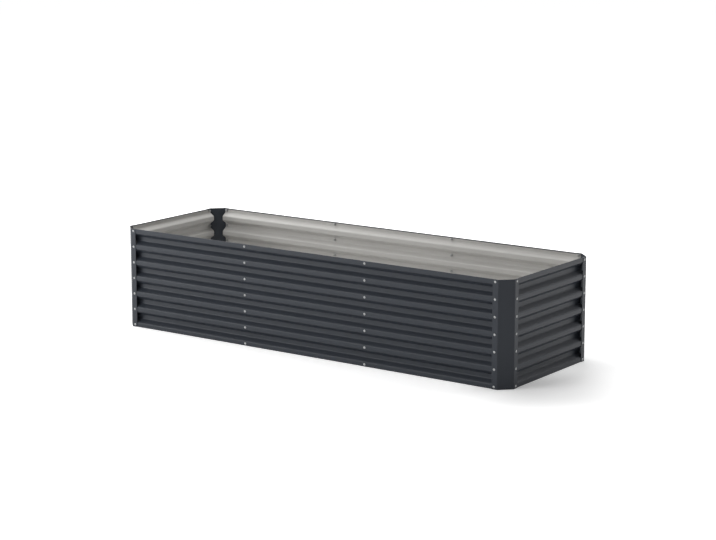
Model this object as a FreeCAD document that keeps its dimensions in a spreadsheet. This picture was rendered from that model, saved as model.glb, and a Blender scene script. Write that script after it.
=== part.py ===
import FreeCAD, Part
import math
import os
import re
import Sketcher

# Raised garden bed of lapped and bolted corrugated steel panels between four folded corner
# posts. The bed has no bottom. Millimetres, +Z up, the origin on the ground at the middle of the
# bed, +X along the length, the front side towards -Y.

SIZES = {
    # plan of the bed: distances between upright columns of bolts
    "bay_length": 750,
    "end_bay": 640,
    # corner post
    "chamfer_leg": 58,
    "kink_to_bolt": 17,
    "bolt_to_flange_edge": 14,
    "post_thickness": 1.5,
    "post_bend_radius": 2,
    # corrugated sheet: flat crests outside, flat valleys inside, sloping webs between
    "sheet_thickness": 0.8,
    "rib_pitch": 84.5,
    "valley_count": 6,
    "crest_height": 24,
    "slope_rise": 18.5,
    "rib_depth": 26,
    "rib_bend_radius": 9,
    # rolled top rim and foot lip of the sheet
    "curl_radius": 2.5,
    "lip_width": 12,
    "lip_bend_radius": 2,
    # edges of the panels, measured from the bolt columns
    "corner_edge": 12,
    "lap_edge": 30,
    "lap_gap": 0.1,
    "notch_clearance": 1,
    # fasteners
    "bolt_diameter": 6,
    "bolt_length": 16,
    "bolt_tip": 0.8,
    "head_diameter": 12,
    "head_height": 3.4,
    "head_rim": 0.8,
    "socket_width": 4,
    "socket_depth": 1.9,
    "hole_clearance": 1,
    "washer_diameter": 12,
    "washer_thickness": 1.6,
    "washer_clearance": 0.4,
    "nut_width": 10,
    "nut_height": 5,
    "thread_gap": 0.1,
    "seat_gap": 0.05,
    # cross ties between the long sides
    "tie_rib": 3,
    "tie_height": 13,
    "tie_web_offset": 16,
    "tie_tab_edge": 9,
    "tie_bend_radius": 2,
}

LONG_BAYS = 3

# Expressions made from the sizes above. Every size has an underscore in its name.
HEIGHT = "(valley_count * rib_pitch + crest_height)"
ROWS = "(valley_count + 1)"
FIRST_ROW = "(crest_height / 2)"
CORNER_TO_BOLT = "(chamfer_leg + kink_to_bolt)"
HALF_LENGTH = f"({LONG_BAYS / 2} * bay_length + {CORNER_TO_BOLT})"
HALF_WIDTH = f"(end_bay / 2 + {CORNER_TO_BOLT})"
# how far a bend moves the inner corner of the sheet along it
RIB_MITER = "(sheet_thickness * tan(atan(rib_depth / slope_rise) / 2))"
POST_MITER = "(post_thickness * tan(22.5 deg))"
# Lapped corrugations nest: the under panel lies this far behind the one that laps over it.
LAP_OFFSET = "((sheet_thickness + lap_gap) * sqrt(rib_depth^2 + slope_rise^2) / slope_rise)"
# A panel whose right end goes under the next one leans in by the lap offset, like a shingle.
LEAN = f"({LAP_OFFSET} / (bay_length + corner_edge - lap_edge))"
# what lies between a bolt's head and its washer, at a corner post and at a lap joint
CORNER_STACK = "(post_thickness + sheet_thickness + seat_gap)"
LAP_STACK = f"({LEAN} * (bay_length + 2 * lap_edge) + sheet_thickness)"
# outer crest planes of the panels, measured from the bed's middle
PANEL_PLANE = f"({HALF_WIDTH} - post_thickness)"
END_PANEL_PLANE = f"({HALF_LENGTH} - post_thickness)"
# Under a lap, the foot lip and the rolled rim are notched away.
LIP_STRIP = "(lip_bend_radius + sheet_thickness + notch_clearance)"
CURL_START = f"({HEIGHT} - 2 * curl_radius - notch_clearance)"
NOTCH_LENGTH = "(2 * lap_edge + notch_clearance)"
HOLE_DIAMETER = "(bolt_diameter + hole_clearance)"
# the centre of the arc from a head's crown to its rim
DOME_CENTRE = (
    "(((head_diameter / 2)^2 + head_rim^2 - head_height^2) / (2 * (head_height - head_rim)))"
)
NUT_BEVEL = "30 deg"

SIDE_ANGLES = {"front": 0, "right_end": 90, "rear": 180, "left_end": -90}

doc = FreeCAD.newDocument("raised_garden_bed")
sheet = doc.addObject("Spreadsheet::Sheet", "Sizes")
for row, (alias, value) in enumerate(SIZES.items(), start=1):
    sheet.set(f"A{row}", alias)
    sheet.set(f"B{row}", str(value))
    sheet.setAlias(f"B{row}", alias)
doc.recompute()

sub_parts = []
first_made = {}


def bound(text):
    """The expression with each size's name pointing at its cell."""
    return re.sub(r"\b[a-z]+(?:_[a-z]+)+\b", lambda name: f"Sizes.{name.group(0)}", text)


def value_of(text):
    return float(sheet.evalExpression(bound(text)))


def datum(body, role):
    return next(item for item in body.Origin.OriginFeatures if item.Role == role)


def new_body(name):
    body = doc.addObject("PartDesign::Body", name)
    body.Label = name
    body.AllowCompound = True
    sub_parts.append(body)
    return body


def new_sketch(body, name, plane, offset=None):
    sketch = body.newObject("Sketcher::SketchObject", name)
    sketch.AttachmentSupport = [(datum(body, plane), "")]
    sketch.MapMode = "FlatFace"
    if offset:
        sketch.setExpression("AttachmentOffset.Base.z", bound(offset))
    return sketch


def bind_point(sketch, element, point, across, up):
    """Hold one point of a sketch at two expressions from its origin."""
    for kind, text in (("DistanceX", across), ("DistanceY", up)):
        held = Sketcher.Constraint(kind, -1, 1, element, point, value_of(text))
        index = sketch.addConstraint(held)
        sketch.setExpression(f"Constraints[{index}]", bound(text))


def arc_between(start, end, centre, turn):
    """An arc round the centre, from start to end, anticlockwise where turn is positive."""
    first = math.atan2(start[1] - centre[1], start[0] - centre[0])
    last = math.atan2(end[1] - centre[1], end[0] - centre[0])
    if turn < 0:
        first, last = last, first
    if last < first:
        last += 2 * math.pi
    radius = math.hypot(start[0] - centre[0], start[1] - centre[1])
    circle = Part.Circle(FreeCAD.Vector(*centre, 0), FreeCAD.Vector(0, 0, 1), radius)
    return Part.ArcOfCircle(circle, first, last)


def outline(sketch, corners, arcs=None):
    """A closed outline through the corners, given as pairs of expressions. arcs gives, for the
    corner that an arc starts from, its centre's two expressions and its turn."""
    arcs = arcs or {}
    points = [(value_of(across), value_of(up)) for across, up in corners]
    ends = []
    for index, start in enumerate(points):
        end = points[(index + 1) % len(points)]
        if index in arcs:
            centre_across, centre_up, turn = arcs[index]
            centre = (value_of(centre_across), value_of(centre_up))
            element = sketch.addGeometry(arc_between(start, end, centre, turn), False)
            ends.append((element, 1, 2) if turn > 0 else (element, 2, 1))
        else:
            line = Part.LineSegment(FreeCAD.Vector(*start, 0), FreeCAD.Vector(*end, 0))
            element = sketch.addGeometry(line, False)
            ends.append((element, 1, 2))
    for index, (element, _, last) in enumerate(ends):
        following, first, _ = ends[(index + 1) % len(ends)]
        sketch.addConstraint(Sketcher.Constraint("Coincident", element, last, following, first))
    for (element, first, _), (across, up) in zip(ends, corners):
        bind_point(sketch, element, first, across, up)
    for index, (centre_across, centre_up, _) in arcs.items():
        element = ends[index][0]
        centre = value_of(centre_across)
        held = Sketcher.Constraint("DistanceX", -1, 1, element, 3, centre)
        constraint = sketch.addConstraint(held)
        sketch.setExpression(f"Constraints[{constraint}]", bound(centre_across))


def circle(sketch, across, up, diameter):
    centre = FreeCAD.Vector(value_of(across), value_of(up), 0)
    normal = FreeCAD.Vector(0, 0, 1)
    ring = Part.Circle(centre, normal, value_of(diameter) / 2)
    element = sketch.addGeometry(ring, False)
    bind_point(sketch, element, 3, across, up)
    size = sketch.addConstraint(Sketcher.Constraint("Diameter", element, value_of(diameter)))
    sketch.setExpression(f"Constraints[{size}]", bound(diameter))


def hexagon(sketch, width):
    """A hexagon round the sketch's origin, its flats across the given width and level."""
    half = f"({width} / 2)"
    corner = f"({width} / sqrt(3))"
    side = f"({width} / (2 * sqrt(3)))"
    outline(sketch, [
        (corner, "0"),
        (side, half),
        (f"-1 * {side}", half),
        (f"-1 * {corner}", "0"),
        (f"-1 * {side}", f"-1 * {half}"),
        (side, f"-1 * {half}"),
    ])


def pad(body, name, sketch, length, reverse=False, both_ways=False):
    feature = body.newObject("PartDesign::Pad", name)
    feature.Profile = sketch
    feature.Reversed = reverse
    if both_ways:
        feature.SideType = "Symmetric"
    feature.setExpression("Length", bound(length))
    body.Tip = feature
    doc.recompute()
    return feature


def pocket(body, name, sketch, depth=None):
    """A cut behind the sketch, right through where no depth is given, that must take metal."""
    before = body.Shape.Volume
    feature = body.newObject("PartDesign::Pocket", name)
    feature.Profile = sketch
    if depth:
        feature.setExpression("Length", bound(depth))
    else:
        feature.Type = "ThroughAll"
    body.Tip = feature
    doc.recompute()
    if not body.Shape.Volume < before:
        raise RuntimeError(f"{body.Label}: {name} cuts nothing")
    return feature


def up_the_wall(body, name, features, count):
    """Repeat features upwards, one copy at each rib, or the whole body where none is named."""
    pattern = body.newObject("PartDesign::LinearPattern", name)
    if features:
        pattern.Originals = features
    else:
        pattern.TransformMode = "Whole shape"
    pattern.Direction = (datum(body, "Z_Axis"), [""])
    pattern.Mode = "Spacing"
    pattern.setExpression("Offset", bound("rib_pitch"))
    pattern.setExpression("Occurrences", bound(count))
    body.Tip = pattern
    doc.recompute()
    return pattern


def straight_edges(body, direction, test):
    """The names of the body's edges that run along the direction and pass the test."""
    names = []
    for number, edge in enumerate(body.Shape.Edges, start=1):
        if not isinstance(edge.Curve, Part.Line):
            continue
        if abs(abs(edge.Curve.Direction.dot(direction)) - 1) > 1e-9:
            continue
        if test(edge.CenterOfMass):
            names.append(f"Edge{number}")
    return names


def fillet(body, name, edges, radius):
    solid = body.Tip
    feature = body.newObject("PartDesign::Fillet", name)
    feature.Base = (solid, edges)
    feature.setExpression("Radius", bound(radius))
    body.Tip = feature
    doc.recompute()
    return feature


def near(number, text):
    return abs(number - value_of(text)) < 1e-6


def piece(name, make, *details):
    """The body that the maker makes, or a copy of the first one that it made to these details."""
    order = (make, *details)
    if order not in first_made:
        first_made[order] = make(name, *details)
        return first_made[order]
    body = new_body(name)
    copy = body.newObject("PartDesign::FeatureBase", f"{name}_copy")
    copy.BaseFeature = first_made[order]
    body.Tip = copy
    doc.recompute()
    return body


def place(body, side, along, outward, height, turn="0 deg"):
    """Stand a body on one side of the bed: along runs to the right for someone who faces that
    side, outward is measured from the bed's middle plane, turn is anticlockwise from above."""
    angle = SIDE_ANGLES[side]
    across = {
        0: (along, f"-1 * {outward}"),
        90: (outward, along),
        180: (f"-1 * {along}", outward),
        -90: (f"-1 * {outward}", f"-1 * {along}"),
    }[angle]
    body.setExpression("Placement.Base.x", bound(across[0]))
    body.setExpression("Placement.Base.y", bound(across[1]))
    body.setExpression("Placement.Base.z", bound(height))
    body.setExpression("Placement.Rotation.Angle", bound(f"{angle} deg + {turn}"))


def make_panel(name, length, left_edge, right_edge, goes_under):
    """One corrugated panel: its outer crest plane at Y = 0, its left end at X = 0, its foot at
    Z = 0. Where the right end goes under the next panel, rim and lip stop short of the lap."""
    body = new_body(name)

    # one valley between two half crests, repeated up the wall
    inner_valley = "(rib_depth + sheet_thickness)"
    rib = new_sketch(body, f"{name}_rib_outline", "YZ_Plane")
    outline(rib, [
        ("0", FIRST_ROW),
        ("0", "crest_height"),
        ("rib_depth", "crest_height + slope_rise"),
        ("rib_depth", "rib_pitch - slope_rise"),
        ("0", "rib_pitch"),
        ("0", f"rib_pitch + {FIRST_ROW}"),
        ("sheet_thickness", f"rib_pitch + {FIRST_ROW}"),
        ("sheet_thickness", f"rib_pitch + {RIB_MITER}"),
        (inner_valley, f"rib_pitch - slope_rise + {RIB_MITER}"),
        (inner_valley, f"crest_height + slope_rise - {RIB_MITER}"),
        ("sheet_thickness", f"crest_height - {RIB_MITER}"),
        ("sheet_thickness", FIRST_ROW),
    ])
    pad(body, f"{name}_rib", rib, length)

    # bends: the sheet's inner side of each has the bend radius, its outer side one sheet more
    along = FreeCAD.Vector(1, 0, 0)

    def at_bend(centre, *depths):
        is_end = near(centre.z, FIRST_ROW) or near(centre.z, f"rib_pitch + {FIRST_ROW}")
        return not is_end and any(near(centre.y, depth) for depth in depths)

    tight = straight_edges(body, along, lambda c: at_bend(c, "sheet_thickness", "rib_depth"))
    fillet(body, f"{name}_inner_bends", tight, "rib_bend_radius")
    wide = straight_edges(body, along, lambda c: at_bend(c, "0", inner_valley))
    fillet(body, f"{name}_outer_bends", wide, "rib_bend_radius + sheet_thickness")
    up_the_wall(body, f"{name}_ribs", [], "valley_count")

    # the flat rest of the lowest and the highest crest
    flats = (("foot", LIP_STRIP, FIRST_ROW), ("rim", f"{HEIGHT} - {FIRST_ROW}", CURL_START))
    for flat_name, low, high in flats:
        flat = new_sketch(body, f"{name}_{flat_name}_flat_outline", "YZ_Plane")
        outline(flat, [("0", low), ("sheet_thickness", low), ("sheet_thickness", high), ("0", high)])
        pad(body, f"{name}_{flat_name}_flat", flat, length)

    # foot lip, turned inwards along the ground, and the rolled rim
    trimmed = f"({length} - {NOTCH_LENGTH})" if goes_under else length
    lip = new_sketch(body, f"{name}_lip_outline", "YZ_Plane")
    lip_bend = "(lip_bend_radius + sheet_thickness)"
    outline(lip, [
        ("0", LIP_STRIP),
        ("0", lip_bend),
        (lip_bend, "0"),
        ("lip_width", "0"),
        ("lip_width", "sheet_thickness"),
        (lip_bend, "sheet_thickness"),
        ("sheet_thickness", lip_bend),
        ("sheet_thickness", LIP_STRIP),
    ], arcs={1: (lip_bend, lip_bend, 1), 5: (lip_bend, lip_bend, -1)})
    pad(body, f"{name}_lip", lip, trimmed)
    curl = new_sketch(body, f"{name}_curl_outline", "YZ_Plane")
    curl_middle = f"({HEIGHT} - curl_radius)"
    curl_bottom = f"({HEIGHT} - 2 * curl_radius)"
    outline(curl, [
        ("0", CURL_START),
        ("0", curl_middle),
        ("curl_radius", curl_bottom),
        ("curl_radius", f"{curl_bottom} + sheet_thickness"),
        ("sheet_thickness", curl_middle),
        ("sheet_thickness", CURL_START),
    ], arcs={1: ("curl_radius", curl_middle, -1), 3: ("curl_radius", curl_middle, 1)})
    pad(body, f"{name}_curl", curl, trimmed)

    # a bolt hole in every crest at both ends
    holes = new_sketch(body, f"{name}_hole_outline", "XZ_Plane")
    circle(holes, left_edge, FIRST_ROW, HOLE_DIAMETER)
    circle(holes, f"{length} - {right_edge}", FIRST_ROW, HOLE_DIAMETER)
    cut = pocket(body, f"{name}_hole", holes)
    up_the_wall(body, f"{name}_holes", [cut], ROWS)
    return body


def make_post(name):
    """A corner post: the outer planes of its flanges meet at the local Z axis, one flange lies
    along -X and faces -Y, the other lies along +Y and faces +X, the chamfer joins them."""
    body = new_body(name)
    flange_end = f"({CORNER_TO_BOLT} + bolt_to_flange_edge)"
    inner_kink = f"(chamfer_leg + {POST_MITER})"
    section = new_sketch(body, f"{name}_section", "XY_Plane")
    outline(section, [
        (f"-1 * {flange_end}", "0"),
        ("-1 * chamfer_leg", "0"),
        ("0", "chamfer_leg"),
        ("0", flange_end),
        ("-1 * post_thickness", flange_end),
        ("-1 * post_thickness", inner_kink),
        (f"-1 * {inner_kink}", "post_thickness"),
        (f"-1 * {flange_end}", "post_thickness"),
    ])
    pad(body, f"{name}_strip", section, HEIGHT)
    upright = FreeCAD.Vector(0, 0, 1)

    def at_kink(centre, along_flange, depth):
        across, deep = value_of(along_flange), value_of(depth)
        first = math.hypot(centre.x + across, centre.y - deep) < 1e-6
        second = math.hypot(centre.x + deep, centre.y - across) < 1e-6
        return first or second

    inside = straight_edges(body, upright, lambda c: at_kink(c, inner_kink, "post_thickness"))
    fillet(body, f"{name}_inner_bends", inside, "post_bend_radius")
    outside = straight_edges(body, upright, lambda c: at_kink(c, "chamfer_leg", "0"))
    fillet(body, f"{name}_outer_bends", outside, "post_bend_radius + post_thickness")

    cuts = []
    for plane, across in (("XZ_Plane", f"-1 * {CORNER_TO_BOLT}"), ("YZ_Plane", CORNER_TO_BOLT)):
        hole = new_sketch(body, f"{name}_hole_outline_{plane[:2]}", plane)
        circle(hole, across, FIRST_ROW, HOLE_DIAMETER)
        cuts.append(pocket(body, f"{name}_hole_{plane[:2]}", hole))
    up_the_wall(body, f"{name}_holes", cuts, ROWS)
    return body


def make_bolts(name):
    """A column of bolts: heads on the outside of Y = 0, shanks inwards along +Y."""
    body = new_body(name)
    section = new_sketch(body, f"{name}_section", "XY_Plane")
    outline(section, [
        ("0", "-1 * head_height"),
        ("head_diameter / 2", "-1 * head_rim"),
        ("head_diameter / 2", "0"),
        ("bolt_diameter / 2", "0"),
        ("bolt_diameter / 2", "bolt_length - bolt_tip"),
        ("bolt_diameter / 2 - bolt_tip", "bolt_length"),
        ("0", "bolt_length"),
    ], arcs={0: ("0", DOME_CENTRE, 1)})
    turned = body.newObject("PartDesign::Revolution", f"{name}_turned")
    turned.Profile = section
    turned.ReferenceAxis = (section, ["V_Axis"])
    turned.Angle = 360
    body.Tip = turned
    doc.recompute()
    socket = new_sketch(body, f"{name}_socket_outline", "XZ_Plane", offset="head_height")
    hexagon(socket, "socket_width")
    cut = pocket(body, f"{name}_socket", socket, "socket_depth")
    up_the_wall(body, f"{name}_column", [turned, cut], ROWS)
    return body


def make_washers(name, runs):
    """Washers on the inside of Y = 0, in runs of ribs given as first rib and count."""
    body = new_body(name)
    for number, (first, count) in enumerate(runs, start=1):
        height = f"({first}) * rib_pitch"
        ring = new_sketch(body, f"{name}_outline_{number}", "XZ_Plane")
        circle(ring, "0", height, "washer_diameter")
        circle(ring, "0", height, "bolt_diameter + washer_clearance")
        disc = pad(body, f"{name}_disc_{number}", ring, "washer_thickness", reverse=True)
        up_the_wall(body, f"{name}_run_{number}", [disc], count)
    return body


def make_nuts(name):
    """A column of hexagon nuts on the inside of Y = 0, their free corners turned off."""
    body = new_body(name)
    hexagonal = new_sketch(body, f"{name}_outline", "XZ_Plane")
    hexagon(hexagonal, "nut_width")
    circle(hexagonal, "0", "0", "bolt_diameter + thread_gap")
    blank = pad(body, f"{name}_blank", hexagonal, "nut_height", reverse=True)
    corner = "(nut_width / sqrt(3) + seat_gap)"
    flat = "(nut_width / 2)"
    wedge = new_sketch(body, f"{name}_wedge", "XY_Plane")
    outline(wedge, [
        (flat, "nut_height + seat_gap"),
        (flat, "nut_height"),
        (corner, f"nut_height - ({corner} - {flat}) * tan({NUT_BEVEL})"),
        (corner, "nut_height + seat_gap"),
    ])
    turned = body.newObject("PartDesign::Groove", f"{name}_turned_corners")
    turned.Profile = wedge
    turned.ReferenceAxis = (wedge, ["V_Axis"])
    turned.Angle = 360
    body.Tip = turned
    doc.recompute()
    up_the_wall(body, f"{name}_column", [blank, turned], ROWS)
    return body


def make_tie(name):
    """A cross tie from one long side to the other: a strap with both ends turned onto the
    sheets. Its front tab lies on Y = 0, its holes are at X = 0, its mid height is Z = 0."""
    body = new_body(name)
    span = f"(2 * ({PANEL_PLANE} - {LAP_STACK}))"
    web_back = "(tie_web_offset - washer_thickness)"
    plan = new_sketch(body, f"{name}_plan", "XY_Plane")
    outline(plan, [
        ("-1 * tie_tab_edge", "0"),
        ("tie_web_offset", "0"),
        ("tie_web_offset", span),
        ("-1 * tie_tab_edge", span),
        ("-1 * tie_tab_edge", f"{span} - washer_thickness"),
        (web_back, f"{span} - washer_thickness"),
        (web_back, "washer_thickness"),
        ("-1 * tie_tab_edge", "washer_thickness"),
    ])
    pad(body, f"{name}_strap", plan, "tie_height", both_ways=True)
    upright = FreeCAD.Vector(0, 0, 1)
    inside = straight_edges(body, upright, lambda c: near(c.x, web_back))
    fillet(body, f"{name}_inner_bends", inside, "tie_bend_radius")
    outside = straight_edges(body, upright, lambda c: near(c.x, "tie_web_offset"))
    fillet(body, f"{name}_outer_bends", outside, "tie_bend_radius + washer_thickness")
    hole = new_sketch(body, f"{name}_hole_outline", "XZ_Plane")
    circle(hole, "0", "0", HOLE_DIAMETER)
    pocket(body, f"{name}_holes", hole)
    return body


def make_column(name, side, along, head_plane, stack, washer_runs):
    """A column of bolts through one row of holes, with its washers and nuts inside."""
    fasteners = (
        (piece(f"{name}_bolts", make_bolts), head_plane),
        (piece(f"{name}_washers", make_washers, washer_runs), f"({head_plane} - {stack})"),
        (piece(f"{name}_nuts", make_nuts), f"({head_plane} - {stack} - washer_thickness)"),
    )
    for body, plane in fasteners:
        place(body, side, along, plane, FIRST_ROW)


# Corner posts: one stands at the right-hand end of each side.
post_sides = (
    ("front_right_post", "front", HALF_LENGTH, HALF_WIDTH),
    ("rear_right_post", "right_end", HALF_WIDTH, HALF_LENGTH),
    ("rear_left_post", "rear", HALF_LENGTH, HALF_WIDTH),
    ("front_left_post", "left_end", HALF_WIDTH, HALF_LENGTH),
)
for name, side, along, outward in post_sides:
    place(piece(name, make_post), side, along, outward, "0")

# Long sides: left, middle and right for someone who faces the side. Each panel but the right
# one goes under its neighbour.
long_panels = {
    "front": ("front_left_panel", "front_middle_panel", "front_right_panel"),
    "rear": ("rear_right_panel", "rear_middle_panel", "rear_left_panel"),
}
for side, names in long_panels.items():
    for index, name in enumerate(names):
        is_first, is_last = index == 0, index == LONG_BAYS - 1
        left_edge = "corner_edge" if is_first else "lap_edge"
        right_edge = "corner_edge" if is_last else "lap_edge"
        length = f"(bay_length + {left_edge} + {right_edge})"
        panel = piece(name, make_panel, length, left_edge, right_edge, not is_last)
        start = f"({index - LONG_BAYS / 2} * bay_length - {left_edge})"
        lean = "0 deg" if is_last else f"asin({LEAN})"
        place(panel, side, start, PANEL_PLANE, "0", turn=lean)

# Ends: one panel each.
for side in ("right_end", "left_end"):
    length = "(end_bay + 2 * corner_edge)"
    panel = piece(f"{side}_panel", make_panel, length, "corner_edge", "corner_edge", False)
    place(panel, side, "(-1 * (end_bay / 2 + corner_edge))", END_PANEL_PLANE, "0")

# Cross ties, one at each lap joint. Their tabs take the place of a washer there.
for name, side in (("left_cross_tie", "front"), ("right_cross_tie", "rear")):
    outward = f"({PANEL_PLANE} - {LAP_STACK})"
    height = f"({FIRST_ROW} + tie_rib * rib_pitch)"
    place(piece(name, make_tie), side, "(-0.5 * bay_length)", outward, height)

# Bolt columns, from left to right for someone who faces the side.
column_names = {
    "front": ("front_left_corner", "front_left_joint", "front_right_joint", "front_right_corner"),
    "rear": ("rear_right_corner", "rear_right_joint", "rear_left_joint", "rear_left_corner"),
    "right_end": ("right_end_front", "right_end_rear"),
    "left_end": ("left_end_rear", "left_end_front"),
}
whole_run = (("0", ROWS),)
runs_round_tie = (("0", "tie_rib"), ("tie_rib + 1", "valley_count - tie_rib"))
for side, names in column_names.items():
    is_long = side in long_panels
    spacing = "bay_length" if is_long else "end_bay"
    for index, name in enumerate(names):
        along = f"({index - (len(names) - 1) / 2} * {spacing})"
        if is_long and 0 < index < LONG_BAYS:
            make_column(name, side, along, PANEL_PLANE, LAP_STACK, runs_round_tie)
        else:
            post_plane = HALF_WIDTH if is_long else HALF_LENGTH
            make_column(name, side, along, post_plane, CORNER_STACK, whole_run)

doc.recompute()

for item in doc.Objects:
    if "Invalid" in item.State or "Error" in item.State:
        raise RuntimeError(f"{item.Label} did not recompute: {item.State}")
for body in sub_parts:
    if body.Shape.isNull() or not body.Shape.isValid() or not body.Shape.Solids:
        raise RuntimeError(f"{body.Label} has no valid solid")

os.makedirs("parts", exist_ok=True)
for body in sub_parts:
    body.Shape.exportStep(f"parts/{body.Label}.step")
    print(f"{body.Label}: {len(body.Shape.Solids)} solids, {body.Shape.Volume:.0f} mm3")
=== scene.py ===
import math

import bpy
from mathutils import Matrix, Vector


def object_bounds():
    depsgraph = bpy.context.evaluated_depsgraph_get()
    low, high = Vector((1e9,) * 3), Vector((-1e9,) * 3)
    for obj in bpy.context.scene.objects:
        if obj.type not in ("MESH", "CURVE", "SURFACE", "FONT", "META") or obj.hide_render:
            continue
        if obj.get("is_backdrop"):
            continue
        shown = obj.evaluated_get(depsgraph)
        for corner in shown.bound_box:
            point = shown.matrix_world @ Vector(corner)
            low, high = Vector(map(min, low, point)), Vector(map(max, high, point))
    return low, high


# Raised garden bed: corrugated, coil coated steel panels between chamfered corner posts, zinc
# plated bolts, nuts and washers, galvanised cross ties. Metres, +Z up, front side towards -Y.

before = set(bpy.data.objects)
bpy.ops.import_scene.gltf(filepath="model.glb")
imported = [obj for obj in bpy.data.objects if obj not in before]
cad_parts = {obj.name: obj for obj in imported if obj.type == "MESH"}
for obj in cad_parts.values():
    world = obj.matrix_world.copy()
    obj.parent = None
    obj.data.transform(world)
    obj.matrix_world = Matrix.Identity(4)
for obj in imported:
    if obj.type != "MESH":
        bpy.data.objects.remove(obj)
low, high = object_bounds()

# Camera: from the right of the front side, a little above it, with a long lens.
CAMERA_AZIMUTH = 35.52
CAMERA_ELEVATION = 11.57
CAMERA_DISTANCE = 10.594
CAMERA_AIM = Vector((0.024, 0.044, 0.372))
CAMERA_LENS = 103.2
CAMERA_REACH = 300.0

# Colours, linear
ANTHRACITE = (0.0305, 0.036, 0.0465)
BACKING_GREY = (0.53, 0.52, 0.50)
CUT_EDGE = (0.20, 0.20, 0.21)
ZINC = (0.40, 0.41, 0.425)
ZINC_WARM = (0.408, 0.41, 0.3995)
GALVANISED = (0.50, 0.52, 0.54)
WHITE = (1.0, 1.0, 1.0)
FLOOR_WHITE = (0.86, 0.86, 0.86)

# Surfaces: what a noise does to brightness and roughness at its weak and at its strong end, and
# the patterns' cycles per metre. The coat's three brightnesses are added. THREAD_BUMP is the share
# of the ridges' height that the bump shows.
NOISE_RANGE = (0.3, 0.7)
COAT_SPECULAR = 0.3
COAT_ROUGHNESS = (0.38, 0.46)
COAT_CLOUDS = (0.95, 1.05)
COAT_STREAKS = (-0.03, 0.03)
COAT_GRAIN = (-0.05, 0.05)
GRAIN_STRENGTH = 0.25
GRAIN_HEIGHT = 0.00006
THREAD_BUMP = 0.9
ZINC_ROUGHNESS = (0.34, 0.48)
SPANGLE_BRIGHTNESS = (0.85, 1.12)
SPANGLE_ROUGHNESS = (0.38, 0.55)
CLOUD_CYCLES = 1.2
STREAK_CYCLES = 260.0
STREAK_CYCLES_ALONG = 1.5
GRAIN_CYCLES = 1400.0
MOTTLE_CYCLES = 160.0
SPANGLE_CYCLES = 120.0

# Softboxes: azimuth and elevation from the bed's middle, power in watts. Azimuth 0 is in front
# of the bed and 90 to the right of it. One that stands low is flatter, to stay above the floor.
SOFTBOX_DISTANCE = 6.5
SOFTBOX_WIDTH = 3.0
SOFTBOX_AIM_HEIGHT = 0.25
LOW_ELEVATION = 12.0
LOW_SOFTBOX_HEIGHT = 1.6
LOW_SOFTBOX_AIM_HEIGHT = 0.6
SOFTBOXES = {
    "left_front_low": (-45.0, 8.0, 105.0),
    "front_high": (-20.0, 45.0, 132.0),
    "left": (-80.0, 30.0, 67.0),
    "left_high": (-100.0, 45.0, 127.0),
    "left_back": (-150.0, 60.0, 141.0),
    "right_back": (135.0, 40.0, 104.0),
    "top": (0.0, 85.0, 80.0),
}

# The floor's own glow for the camera: dimmed as painted shade within the walls and as a painted
# shadow that deepens the lamps' shadow at the bed's right end, more round the bed, and white far
# from it. The walls stand on the edges of the part within, which are given as |x|, |y| and, along
# the corner posts, |x| + |y|.
PAINTED_SHADE_WITHIN_GLOW = 0.15
WITHIN_ENDS = 1.192
WITHIN_SIDES = 0.387
WITHIN_POSTS = 1.536
PAINTED_SHADOW_MIDDLE = (1.35, -0.3, 0.0)
PAINTED_SHADOW_GLOW = 0.2
PAINTED_SHADOW_REACH = (0.1, 0.5)
NEAR_GLOW = 0.47
FAR_GLOW = 1.0
FAR_REACH = (1.3, 4.5)
FLOOR_ROUGHNESS = 0.9
FLOOR_SIZE = 160.0
FLOOR_DROP = 0.0005

# The backdrop is white below the first of these heights of a view's direction, and dark above
# the second.
HORIZON_BAND = (0.25, 0.55)

# Heights and depths on the bed, metres
CURL_HEIGHT = 0.0055
LIP_HEIGHT = 0.004
HEAD_SEAT_DEPTH = 0.006
THREAD_PITCH = 0.001

# How far a face's normal leans: into the bed (times the distance from the middle), up, and along
# the sheet
LEANS_IN = -0.01
LEANS_UP = 0.7
LEANS_ALONG = 0.95


def add(tree, kind, inputs=None, **settings):
    """A node with its settings, and its inputs given as values or as other nodes' outputs."""
    node = tree.nodes.new(kind)
    for name, value in settings.items():
        setattr(node, name, value)
    for name, value in (inputs or {}).items():
        connect(tree, node.inputs[name], value)
    return node


def connect(tree, socket, value):
    if isinstance(value, bpy.types.NodeSocket):
        tree.links.new(value, socket)
    else:
        socket.default_value = value


def rgba(colour, factor=1.0):
    return (*(channel * factor for channel in colour), 1.0)


def maths(tree, operation, *values):
    return add(tree, "ShaderNodeMath", dict(enumerate(values)), operation=operation).outputs[0]


def mix_colour(tree, factor, first, second):
    node = add(tree, "ShaderNodeMix", data_type="RGBA")
    wanted = {"Factor_Float": factor, "A_Color": first, "B_Color": second}
    for socket in node.inputs:
        if socket.identifier in wanted:
            connect(tree, socket, wanted[socket.identifier])
    return next(socket for socket in node.outputs if socket.identifier == "Result_Color")


def scale_colour(tree, colour, factor):
    node = add(tree, "ShaderNodeVectorMath", {0: colour, "Scale": factor}, operation="SCALE")
    return node.outputs[0]


def stretch(tree, value, from_low, from_high, to_low, to_high, **settings):
    node = add(tree, "ShaderNodeMapRange", {
        "Value": value, "From Min": from_low, "From Max": from_high,
        "To Min": to_low, "To Max": to_high,
    }, **settings)
    return node.outputs["Result"]


def from_noise(tree, value, wanted):
    """A noise, stretched from the range in which it varies to the wanted one."""
    return stretch(tree, value, *NOISE_RANGE, *wanted)


def axis_of(tree, vector, axis):
    return add(tree, "ShaderNodeSeparateXYZ", {"Vector": vector}).outputs[axis]


def place_of(tree):
    return add(tree, "ShaderNodeTexCoord").outputs["Object"]


def normal_of(tree):
    return add(tree, "ShaderNodeNewGeometry").outputs["True Normal"]


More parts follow.
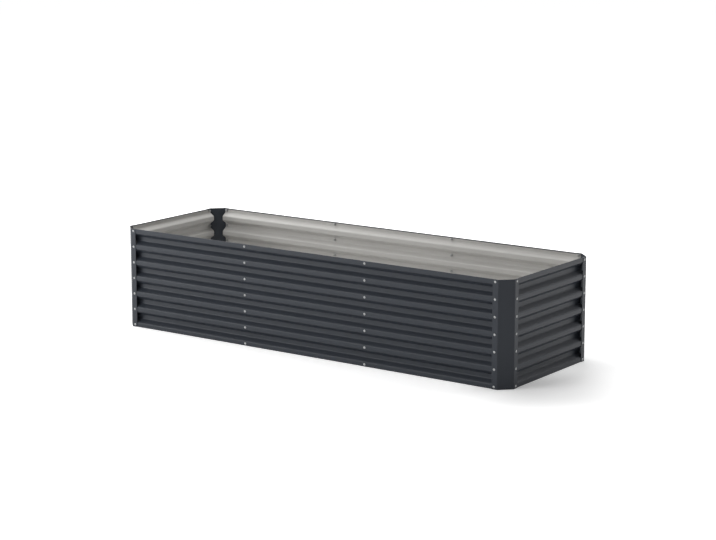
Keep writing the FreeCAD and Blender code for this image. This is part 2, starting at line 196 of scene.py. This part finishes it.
def noise(tree, scales, detail=3.0, roughness=0.5):
    """Noise over the object, with its own number of cycles per metre along each axis."""
    scaled = add(tree, "ShaderNodeMapping", {"Vector": place_of(tree), "Scale": scales})
    return add(tree, "ShaderNodeTexNoise", {
        "Vector": scaled.outputs["Vector"],
        "Scale": 1.0,
        "Detail": detail,
        "Roughness": roughness,
    }).outputs["Fac"]


def new_material(name):
    material = bpy.data.materials.new(name)
    material.use_nodes = True
    tree = material.node_tree
    return material, tree, tree.nodes["Principled BSDF"]


def inner_side(tree, across):
    """1 on the faces that look into the bed, below the rolled rim, and on top of the foot lip."""
    place, facing = place_of(tree), normal_of(tree)
    outwards = maths(tree, "MULTIPLY", axis_of(tree, place, across), axis_of(tree, facing, across))
    looks_in = maths(tree, "LESS_THAN", outwards, LEANS_IN)
    below_rim = maths(tree, "LESS_THAN", axis_of(tree, place, "Z"), high.z - CURL_HEIGHT)
    wall = maths(tree, "MULTIPLY", looks_in, below_rim)
    near_ground = maths(tree, "LESS_THAN", axis_of(tree, place, "Z"), LIP_HEIGHT)
    looks_up = maths(tree, "GREATER_THAN", axis_of(tree, facing, "Z"), LEANS_UP)
    return maths(tree, "MAXIMUM", wall, maths(tree, "MULTIPLY", near_ground, looks_up))


def coated_steel(name, length_axis, across=None):
    """Satin coil coating: anthracite, with a pale grey backing coat on the faces that look into
    the bed where across names the axis through the sheet. The rolls left faint streaks along
    the length, and the sheared ends show bare metal."""
    material, tree, shader = new_material(name)
    streak_cycles = [STREAK_CYCLES] * 3
    streak_cycles["XYZ".index(length_axis)] = STREAK_CYCLES_ALONG
    streaks = noise(tree, streak_cycles, detail=2.0)
    clouds = noise(tree, [CLOUD_CYCLES] * 3, detail=4.0, roughness=0.6)
    grain = noise(tree, [GRAIN_CYCLES] * 3, detail=2.0)

    tone = from_noise(tree, clouds, COAT_CLOUDS)
    tone = maths(tree, "ADD", tone, from_noise(tree, streaks, COAT_STREAKS))
    tone = maths(tree, "ADD", tone, from_noise(tree, grain, COAT_GRAIN))
    colour = scale_colour(tree, ANTHRACITE, tone)
    if across:
        backing = scale_colour(tree, BACKING_GREY, tone)
        colour = mix_colour(tree, inner_side(tree, across), colour, backing)
    end_on = maths(tree, "ABSOLUTE", axis_of(tree, normal_of(tree), length_axis))
    sheared = maths(tree, "GREATER_THAN", end_on, LEANS_ALONG)
    colour = mix_colour(tree, sheared, colour, rgba(CUT_EDGE))
    tree.links.new(colour, shader.inputs["Base Color"])

    unevenness = maths(tree, "MULTIPLY", maths(tree, "ADD", clouds, streaks), 0.5)
    tree.links.new(from_noise(tree, unevenness, COAT_ROUGHNESS), shader.inputs["Roughness"])
    shader.inputs["Specular IOR Level"].default_value = COAT_SPECULAR
    bump = add(tree, "ShaderNodeBump", {
        "Height": grain, "Strength": GRAIN_STRENGTH, "Distance": GRAIN_HEIGHT,
    })
    tree.links.new(bump.outputs["Normal"], shader.inputs["Normal"])
    return material


def zinc_plated(name, thread_axis=None, thread_starts=0.0):
    """Zinc plate with a faint warm mottle. Where thread_axis is given, the metal nearer to the
    bed's middle than thread_starts is threaded round lines along that axis."""
    material, tree, shader = new_material(name)
    mottle = noise(tree, [MOTTLE_CYCLES] * 3, detail=4.0)
    warmth = from_noise(tree, mottle, (0.0, 1.0))
    colour = mix_colour(tree, warmth, rgba(ZINC), rgba(ZINC_WARM))
    tree.links.new(colour, shader.inputs["Base Color"])
    tree.links.new(from_noise(tree, mottle, ZINC_ROUGHNESS), shader.inputs["Roughness"])
    shader.inputs["Metallic"].default_value = 1.0
    if thread_axis:
        along = axis_of(tree, place_of(tree), thread_axis)
        distance = maths(tree, "ABSOLUTE", along)
        ridge = maths(tree, "PINGPONG", distance, THREAD_PITCH / 2)
        threaded = maths(tree, "LESS_THAN", distance, thread_starts)
        bump = add(tree, "ShaderNodeBump", {
            "Height": maths(tree, "MULTIPLY", ridge, threaded),
            "Strength": 1.0,
            "Distance": THREAD_BUMP,
        })
        tree.links.new(bump.outputs["Normal"], shader.inputs["Normal"])
    return material


def galvanised(name):
    """Hot dip galvanised strap with its spangle."""
    material, tree, shader = new_material(name)
    spangle = add(tree, "ShaderNodeTexVoronoi", {
        "Vector": place_of(tree), "Scale": SPANGLE_CYCLES,
    })
    shade = axis_of(tree, spangle.outputs["Color"], "X")
    dark, light = (rgba(GALVANISED, brightness) for brightness in SPANGLE_BRIGHTNESS)
    tree.links.new(mix_colour(tree, shade, dark, light), shader.inputs["Base Color"])
    rough = stretch(tree, shade, 0.0, 1.0, *SPANGLE_ROUGHNESS)
    tree.links.new(rough, shader.inputs["Roughness"])
    shader.inputs["Metallic"].default_value = 1.0
    return material


def give(thing, material):
    """Put the material in every slot of an object."""
    if not thing.material_slots:
        thing.data.materials.append(material)
    for slot in thing.material_slots:
        slot.material = material


def dress():
    long_sheet = coated_steel("coated_sheet_long", "X", across="Y")
    end_sheet = coated_steel("coated_sheet_end", "Y", across="X")
    post_coat = coated_steel("coated_post", "Z")
    long_bolt = zinc_plated("zinc_bolt_long", "Y", high.y - HEAD_SEAT_DEPTH)
    end_bolt = zinc_plated("zinc_bolt_end", "X", high.x - HEAD_SEAT_DEPTH)
    plain_zinc = zinc_plated("zinc_plate")
    strap = galvanised("galvanised_strap")
    for node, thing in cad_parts.items():
        if node.endswith("end_panel"):
            give(thing, end_sheet)
        elif node.endswith("panel"):
            give(thing, long_sheet)
        elif node.endswith("post"):
            give(thing, post_coat)
        elif node.endswith("tie"):
            give(thing, strap)
        elif node.endswith("bolts"):
            give(thing, end_bolt if "_end_" in node else long_bolt)
        else:
            give(thing, plain_zinc)


def seen_directly(tree):
    """1 for what the camera sees, in the open, in a reflection or through something."""
    rays = add(tree, "ShaderNodeLightPath").outputs
    seen = maths(tree, "MAXIMUM", rays["Is Camera Ray"], rays["Is Glossy Ray"])
    return maths(tree, "MAXIMUM", seen, rays["Is Transmission Ray"])


def distance_from(tree, point):
    node = add(tree, "ShaderNodeVectorMath", {0: place_of(tree), 1: point}, operation="DISTANCE")
    return node.outputs["Value"]


def within_walls(tree):
    """1 on the ground within the panels and the corner posts, where the floor's glow is dimmed as
    painted shade.
    """
    place = place_of(tree)
    along, across = (maths(tree, "ABSOLUTE", axis_of(tree, place, axis)) for axis in "XY")
    ends = maths(tree, "LESS_THAN", along, WITHIN_ENDS)
    sides = maths(tree, "LESS_THAN", across, WITHIN_SIDES)
    posts = maths(tree, "LESS_THAN", maths(tree, "ADD", along, across), WITHIN_POSTS)
    return maths(tree, "MULTIPLY", maths(tree, "MULTIPLY", ends, sides), posts)


def make_floor():
    """A pale floor that takes the bed's shadow, with painted shade within the walls and a painted
    shadow at the bed's right end, and turns white away from the bed.
    """
    bpy.ops.mesh.primitive_plane_add(size=FLOOR_SIZE, location=(0.0, 0.0, -FLOOR_DROP))
    floor = bpy.context.object
    floor.name = "studio_floor"
    material, tree, shader = new_material("studio_floor")
    shader.inputs["Base Color"].default_value = rgba(FLOOR_WHITE)
    shader.inputs["Roughness"].default_value = FLOOR_ROUGHNESS
    shader.inputs["Specular IOR Level"].default_value = 0.0
    # Painted shadow: the glow is dimmed round a point by the bed's right end, deepening the lamps'
    # shadow there.
    from_painted_shadow = distance_from(tree, PAINTED_SHADOW_MIDDLE)
    glow_with_painted_shadow = stretch(
        tree, from_painted_shadow, *PAINTED_SHADOW_REACH, PAINTED_SHADOW_GLOW, NEAR_GLOW, interpolation_type="SMOOTHSTEP")
    far = stretch(tree, distance_from(tree, (0.0, 0.0, 0.0)), *FAR_REACH, NEAR_GLOW, FAR_GLOW)
    glow_outside_with_painted_shadow = maths(tree, "ADD", glow_with_painted_shadow, maths(tree, "SUBTRACT", far, NEAR_GLOW))
    # Painted shade: the glow is dimmed within the walls, so the floor inside the bed is darker.
    strength = stretch(tree, within_walls(tree), 0.0, 1.0, glow_outside_with_painted_shadow, PAINTED_SHADE_WITHIN_GLOW)
    strength = maths(tree, "MULTIPLY", strength, seen_directly(tree))
    glow = add(tree, "ShaderNodeEmission", {"Color": rgba(WHITE), "Strength": strength})
    both = add(tree, "ShaderNodeAddShader", {0: shader.outputs[0], 1: glow.outputs[0]})
    tree.links.new(both.outputs[0], tree.nodes["Material Output"].inputs["Surface"])
    floor.data.materials.append(material)
    floor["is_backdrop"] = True


def make_world():
    """A backdrop that is white round the horizon and dark overhead."""
    world = bpy.data.worlds.new("studio")
    bpy.context.scene.world = world
    world.use_nodes = True
    tree = world.node_tree
    direction = add(tree, "ShaderNodeTexCoord").outputs["Generated"]
    band = stretch(
        tree, axis_of(tree, direction, "Z"), *HORIZON_BAND, 1.0, 0.0,
        interpolation_type="SMOOTHSTEP")
    background = tree.nodes["Background"]
    background.inputs["Color"].default_value = rgba(WHITE)
    strength = maths(tree, "MULTIPLY", band, seen_directly(tree))
    tree.links.new(strength, background.inputs["Strength"])


def direction_to(azimuth, elevation):
    """The unit vector towards a bearing, both angles in degrees."""
    around, above = math.radians(azimuth), math.radians(elevation)
    level = math.cos(above)
    return Vector((math.sin(around) * level, -math.cos(around) * level, math.sin(above)))


def make_softboxes():
    for name, (azimuth, elevation, power) in SOFTBOXES.items():
        is_low = elevation < LOW_ELEVATION
        towards = direction_to(azimuth, elevation)
        data = bpy.data.lights.new(name, "AREA")
        data.shape = "RECTANGLE"
        data.size = SOFTBOX_WIDTH
        data.size_y = LOW_SOFTBOX_HEIGHT if is_low else SOFTBOX_WIDTH
        data.energy = power
        aim_height = LOW_SOFTBOX_AIM_HEIGHT if is_low else SOFTBOX_AIM_HEIGHT
        lamp = bpy.data.objects.new(name, data)
        lamp.location = Vector((0.0, 0.0, aim_height)) + towards * SOFTBOX_DISTANCE
        lamp.rotation_euler = (-towards).to_track_quat("-Z", "Y").to_euler()
        bpy.context.scene.collection.objects.link(lamp)


def make_camera():
    back = direction_to(CAMERA_AZIMUTH, CAMERA_ELEVATION)
    data = bpy.data.cameras.new("camera")
    data.lens = CAMERA_LENS
    data.clip_end = CAMERA_REACH
    camera = bpy.data.objects.new("camera", data)
    camera.location = CAMERA_AIM + back * CAMERA_DISTANCE
    camera.rotation_euler = (-back).to_track_quat("-Z", "Y").to_euler()
    bpy.context.scene.collection.objects.link(camera)
    bpy.context.scene.camera = camera


dress()
make_floor()
make_world()
make_softboxes()
make_camera()
bpy.context.scene.view_settings.view_transform = "Standard"

low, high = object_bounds()
